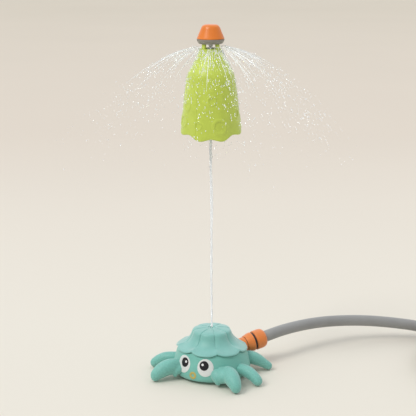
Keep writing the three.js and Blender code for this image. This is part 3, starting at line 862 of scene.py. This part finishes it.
DISC_PROFILE = [
    (2, 527.6), (2.4, 527.3), (17.2, 527.3), (17.9, 527.5), (18.6, 528.4), (20.2, 531),
    (20.9, 532.6), (21, 533.6), (20.8, 534.2), (20.2, 534.4), (2, 534.4),
]
CAP_PROFILE = [
    (0, 556), (3, 556), (6, 555.95), (8.6, 555.7), (10.8, 555), (12.6, 553.7), (13.8, 552),
    (14.7, 549.8), (16.2, 546.2), (18, 542), (19.6, 538.2), (20.5, 536), (20.8, 535.2),
    (20.6, 534.75), (20.1, 534.7), (18.6, 534.7), (18.3, 535.4), (12.4, 549.4), (9, 553), (5, 553),
    (5, 535), (2, 535), (2, 549.6), (0, 549.6),
]


def make_hat_top():
    disc = turned("deflector_disc", DISC_PROFILE, 128)
    finish_piece(disc, GREY, "deflector", "disc_plastic", "deflector")
    cap = turned("cap_cone", CAP_PROFILE, 128)
    crisp(cap, 50)
    finish_piece(cap, ORANGE_CAP, "hat", "cap_plastic", "hat_cap")
    dress_node("cap_screw", STEEL)


# ---- water path and hidden pieces that stay CAD ----
def dress_nodes():
    dress_node("base_plate", TEAL)
    for i in range(4):
        dress_node(f"base_screw_{i + 1}", STEEL)
    dress_node("riser", GREY)
    dress_node("inlet_spigot", GREY)
    dress_node("spigot_o_ring", RUBBER)
    dress_node("filter_washer", RUBBER)


NOZZLE_PROFILE = [
    (1.9, 52), (3.6, 52), (3.6, 62.3), (5.6, 62.3), (5.6, 73.8), (5.3, 74.4), (4.6, 74.6),
    (3.4, 74.5), (2.6, 73.8), (1.9, 72.6),
]


def make_nozzle():
    nozzle = turned("nozzle", NOZZLE_PROFILE, 64)
    finish_piece(nozzle, TEAL_SHELL, "crab", "dark_plastic", "nozzle_insert")


# ---- the water at this moment, which is staging and not part of the object ----
JET_START_Z = 75.4
JET_END_Z = 522
NECK_R = 17.5
NECK_Z = 524
GRAVITY = 9.81
WATER_SEED = 7
UP = Vector((0, 0, 1))
# (half width, distance from the axis)
JET_STRANDS = [(1.6, 0.3), (1.2, 1.2), (0.9, 1.9), (0.7, 2.8), (0.5, 3.6)]
JET_DROPS = 60
SPRAY_STREAMS = 200
STREAM_STEPS = 8  # points along a strand of the spray
SHAKE = 0.003  # metres that a drop may be off its stream
HAT_DRIPS = 900
HEM_DRIPS = 90
DRIP_HEIGHTS = [391, 412, 448, 475, 494, 508, 520]  # the hat's outside, as the drips on it need it
DRIP_RADII = [48, 45.5, 41.2, 37.4, 28.9, 20.9, 16.9]


def strand(bm, points, widths, sides=6):
    """A thin round strand of water through the given points, in metres, with a width for each."""
    previous = None
    for i, p in enumerate(points):
        ahead = points[min(i + 1, len(points) - 1)] - points[max(i - 1, 0)]
        level = abs(ahead.z) < 0.9 * ahead.length
        side = ahead.cross(Vector((0.3, 0.2, 1)) if level else Vector((1, 0, 0))).normalized()
        up = ahead.cross(side).normalized()
        ring = [
            bm.verts.new(p + (side * math.cos(a) + up * math.sin(a)) * widths[i])
            for a in (2 * math.pi * k / sides for k in range(sides))
        ]
        if previous:
            for k in range(sides):
                j = (k + 1) % sides
                bm.faces.new((previous[k], previous[j], ring[j], ring[k]))
        else:
            bm.faces.new(list(reversed(ring)))
        previous = ring
    bm.faces.new(previous)


def drop(bm, centre, size, along, stretch):
    """A drop of water, drawn out along its flight."""
    turn = UP.rotation_difference(along.normalized()).to_matrix().to_4x4()
    place = Matrix.Translation(centre) @ turn @ Matrix.Diagonal((size, size, size * stretch, 1))
    bmesh.ops.create_icosphere(bm, subdivisions=1, radius=1, matrix=place)


def water_object(name, bm, body):
    obj = built_mesh(name, bm)
    obj.data.materials.append(WATER)
    obj.visible_shadow = False
    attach(obj, body)
    return obj


def make_jet(rng):
    """The column of the jet: a few strands that wind round each other, and swell and thin out."""
    bm = bmesh.new()
    heights = np.linspace(JET_START_Z, JET_END_Z, 150)
    for k, (width, reach) in enumerate(JET_STRANDS):
        phase, pitch = rng.uniform(0, 6.28), rng.uniform(50, 90)
        points, widths = [], []
        for z in heights:
            rise = (z - JET_START_Z) / (JET_END_Z - JET_START_Z)
            turn = phase + z / pitch * 2
            out = reach * (0.25 + rise)
            points.append(Vector((out * math.cos(turn), out * math.sin(turn), z)) * MM)
            swell = 1 + 0.35 * math.sin(z / 9 + 3 * k) * rise + 0.2 * math.sin(z / 3.7 + k)
            widths.append(width * swell * (1 - 0.25 * rise) * MM)
        strand(bm, points, widths)
    for _ in range(JET_DROPS):
        z = rng.uniform(180, JET_END_Z - 30)
        turn, out = rng.uniform(0, 6.28), rng.uniform(2, 5) * (z / JET_END_Z)
        centre = Vector((out * math.cos(turn), out * math.sin(turn), z)) * MM
        drop(bm, centre, rng.uniform(0.3, 0.6) * MM, UP, 2.2)
    jet = water_object("water_jet", bm, "crab")
    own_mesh(jet)


def make_spray(rng):
    """The fan that the disc throws out: broken strands near the neck, and drops along the way."""
    bm = bmesh.new()
    for _ in range(SPRAY_STREAMS):
        turn = rng.uniform(0, 2 * math.pi)
        speed = rng.normal(1.24, 0.09) if rng.random() < 0.7 else rng.uniform(0.5, 1.2)
        lift = rng.normal(-0.2, 0.06)
        across, up = speed * math.cos(lift), speed * math.sin(lift)
        away = Vector((math.cos(turn), math.sin(turn), 0))

        def at(t):
            rise = NECK_Z * MM + up * t - GRAVITY / 2 * t * t
            return away * (NECK_R * MM + across * t) + Vector((0, 0, rise))

        flight = rng.uniform(0.11, 0.175)
        if rng.random() < 0.4:
            first = rng.uniform(0, 0.02)
            times = np.linspace(first, first + rng.uniform(0.02, 0.07), STREAM_STEPS)
            width = rng.uniform(0.2, 0.45) * MM
            ends = [abs(2 * i / (STREAM_STEPS - 1) - 1) for i in range(STREAM_STEPS)]
            strand(bm, [at(t) for t in times], [width * (1.1 - 0.8 * end ** 3) for end in ends], 5)
        for _ in range(int(rng.integers(6, 16))):
            t = flight * rng.beta(1.6, 1.1)
            along = away * across + Vector((0, 0, up - GRAVITY * t))
            shake = Vector(rng.normal(0, 1, 3)) * SHAKE * (t / flight + 0.15)
            size = 0.85 * rng.beta(1.6, 2.6) * MM + 0.2 * MM
            drop(bm, at(t) + shake, size, along, rng.uniform(1, 2.6))
    water_object("water_spray", bm, "deflector")


def make_drips(rng):
    """Drops that run down the hat's outside and fall from its hem."""
    bm = bmesh.new()
    for _ in range(HAT_DRIPS):
        turn = rng.uniform(0, 2 * math.pi)
        z = 518 - 110 * rng.beta(0.8, 2.4)
        out = float(np.interp(z, DRIP_HEIGHTS, DRIP_RADII)) + 0.7
        centre = Vector((out * math.sin(turn), -out * math.cos(turn), z)) * MM
        drop(bm, centre, rng.uniform(0.25, 0.75) * MM, UP, rng.uniform(1.2, 5))
    for _ in range(HEM_DRIPS):
        turn = rng.uniform(0, 2 * math.pi)
        z = 385 - 40 * rng.beta(1, 2.2)
        out = rng.uniform(20, 56)
        centre = Vector((out * math.sin(turn), -out * math.cos(turn), z)) * MM
        drop(bm, centre, rng.uniform(0.25, 0.55) * MM, UP, rng.uniform(1, 3))
    water_object("water_drips", bm, "hat")


def make_water():
    rng = np.random.default_rng(WATER_SEED)
    make_jet(rng)
    make_spray(rng)
    make_drips(rng)


# ---- floor and light ----
# The paper's colour is lighter on the camera's side and darker away from it: painted light and
# shade for light that falls off across the floor.
NEAR_PAPER_PAINTED_LIGHT = (0.755, 0.715, 0.635)
MIDDLE_PAPER_PAINTED_FALLOFF = (0.69, 0.62, 0.54)
FAR_PAPER_PAINTED_SHADE = (0.61, 0.555, 0.47)
SKY_LOW = 0.25
SKY_HIGH = 1.15


def make_floor():
    bpy.ops.mesh.primitive_plane_add(size=60, location=(0, 0, -0.0004))
    floor = bpy.context.object
    floor.name = "studio_floor"
    n = Nodes("studio_paper_painted_falloff")
    ahead = n.add("ShaderNodeVectorMath", operation="DOT_PRODUCT")
    n.link(n.where, ahead.inputs[0])
    ahead.inputs[1].default_value = (-math.sin(CAMERA_TURN), math.cos(CAMERA_TURN), 0)
    far = ahead.outputs["Value"]
    # Painted light falloff: the paper's colour darkens along the camera's line of sight.
    base = n.mix(n.ramp(far, 0, 1, 0.2, 2.2), NEAR_PAPER_PAINTED_LIGHT, MIDDLE_PAPER_PAINTED_FALLOFF)
    base = n.mix(n.ramp(far, 0, 1, 1.2, 9.0), base, FAR_PAPER_PAINTED_SHADE)
    tone = n.add("ShaderNodeMix", data_type="RGBA", blend_type="MULTIPLY")
    tone.inputs["Factor"].default_value = 1.0
    n.link(base, tone.inputs[6])
    n.link(n.ramp(n.noise(0.9, 1.0), 0.985, 1.0), tone.inputs[7])
    n.shade("Base Color", tone.outputs[2])
    n.shade("Roughness", 0.9)
    n.shade("Specular IOR Level", 0.1)
    floor.data.materials.append(n.material)


def make_sky():
    """A pale studio that is brighter overhead and behind the object."""
    world = bpy.data.worlds.new("studio")
    bpy.context.scene.world = world
    world.use_nodes = True
    sky = world.node_tree
    background = sky.nodes["Background"]
    background.inputs["Color"].default_value = (0.95, 0.97, 1.0, 1)
    where = sky.nodes.new("ShaderNodeTexCoord")
    facing = sky.nodes.new("ShaderNodeVectorMath")
    facing.operation = "DOT_PRODUCT"
    across, away = 0.6 * math.sin(CAMERA_TURN), 0.6 * math.cos(CAMERA_TURN)
    facing.inputs[1].default_value = (-across, away, 0.8)
    strength = sky.nodes.new("ShaderNodeMapRange")
    strength.inputs["From Min"].default_value = -0.3
    strength.inputs["From Max"].default_value = 1
    strength.inputs["To Min"].default_value = SKY_LOW
    strength.inputs["To Max"].default_value = SKY_HIGH
    sky.links.new(where.outputs["Generated"], facing.inputs[0])
    sky.links.new(facing.outputs["Value"], strength.inputs["Value"])
    sky.links.new(strength.outputs["Result"], background.inputs["Strength"])


def aim_light(name, azimuth, elevation, strength, angle, colour):
    """A soft sun. Its azimuth, in degrees, is from the camera's side of the object to its right."""
    data = bpy.data.lights.new(name, "SUN")
    data.energy = strength
    data.angle = angle
    data.color = colour
    light = bpy.data.objects.new(name, data)
    bpy.context.collection.objects.link(light)
    turn = CAMERA_TURN + math.radians(azimuth)
    tilt = math.radians(elevation)
    level = math.cos(tilt)
    towards = Vector((math.sin(turn) * level, -math.cos(turn) * level, math.sin(tilt)))
    light.rotation_euler = (-towards).to_track_quat("-Z", "Y").to_euler()
    light.location = towards * 3


bpy.context.scene.view_settings.view_transform = "Standard"
make_camera()
far_pieces = make_connector("far", far_place(), "hose", "far_sleeve", "far_nut")
make_hose()
make_connector("connector", inlet_place(), "hose", "connector_sleeve", "connector_nut")
make_body()
make_face()
make_limbs()
make_shell()
make_nozzle()
make_hat()
make_hat_top()
dress_nodes()
make_water()
make_floor()
make_sky()
aim_light("key", -55, 50, 1.25, 0.45, (1.0, 0.985, 0.95))
aim_light("front", -10, 30, 0.25, 1.2, (1.0, 0.99, 0.97))
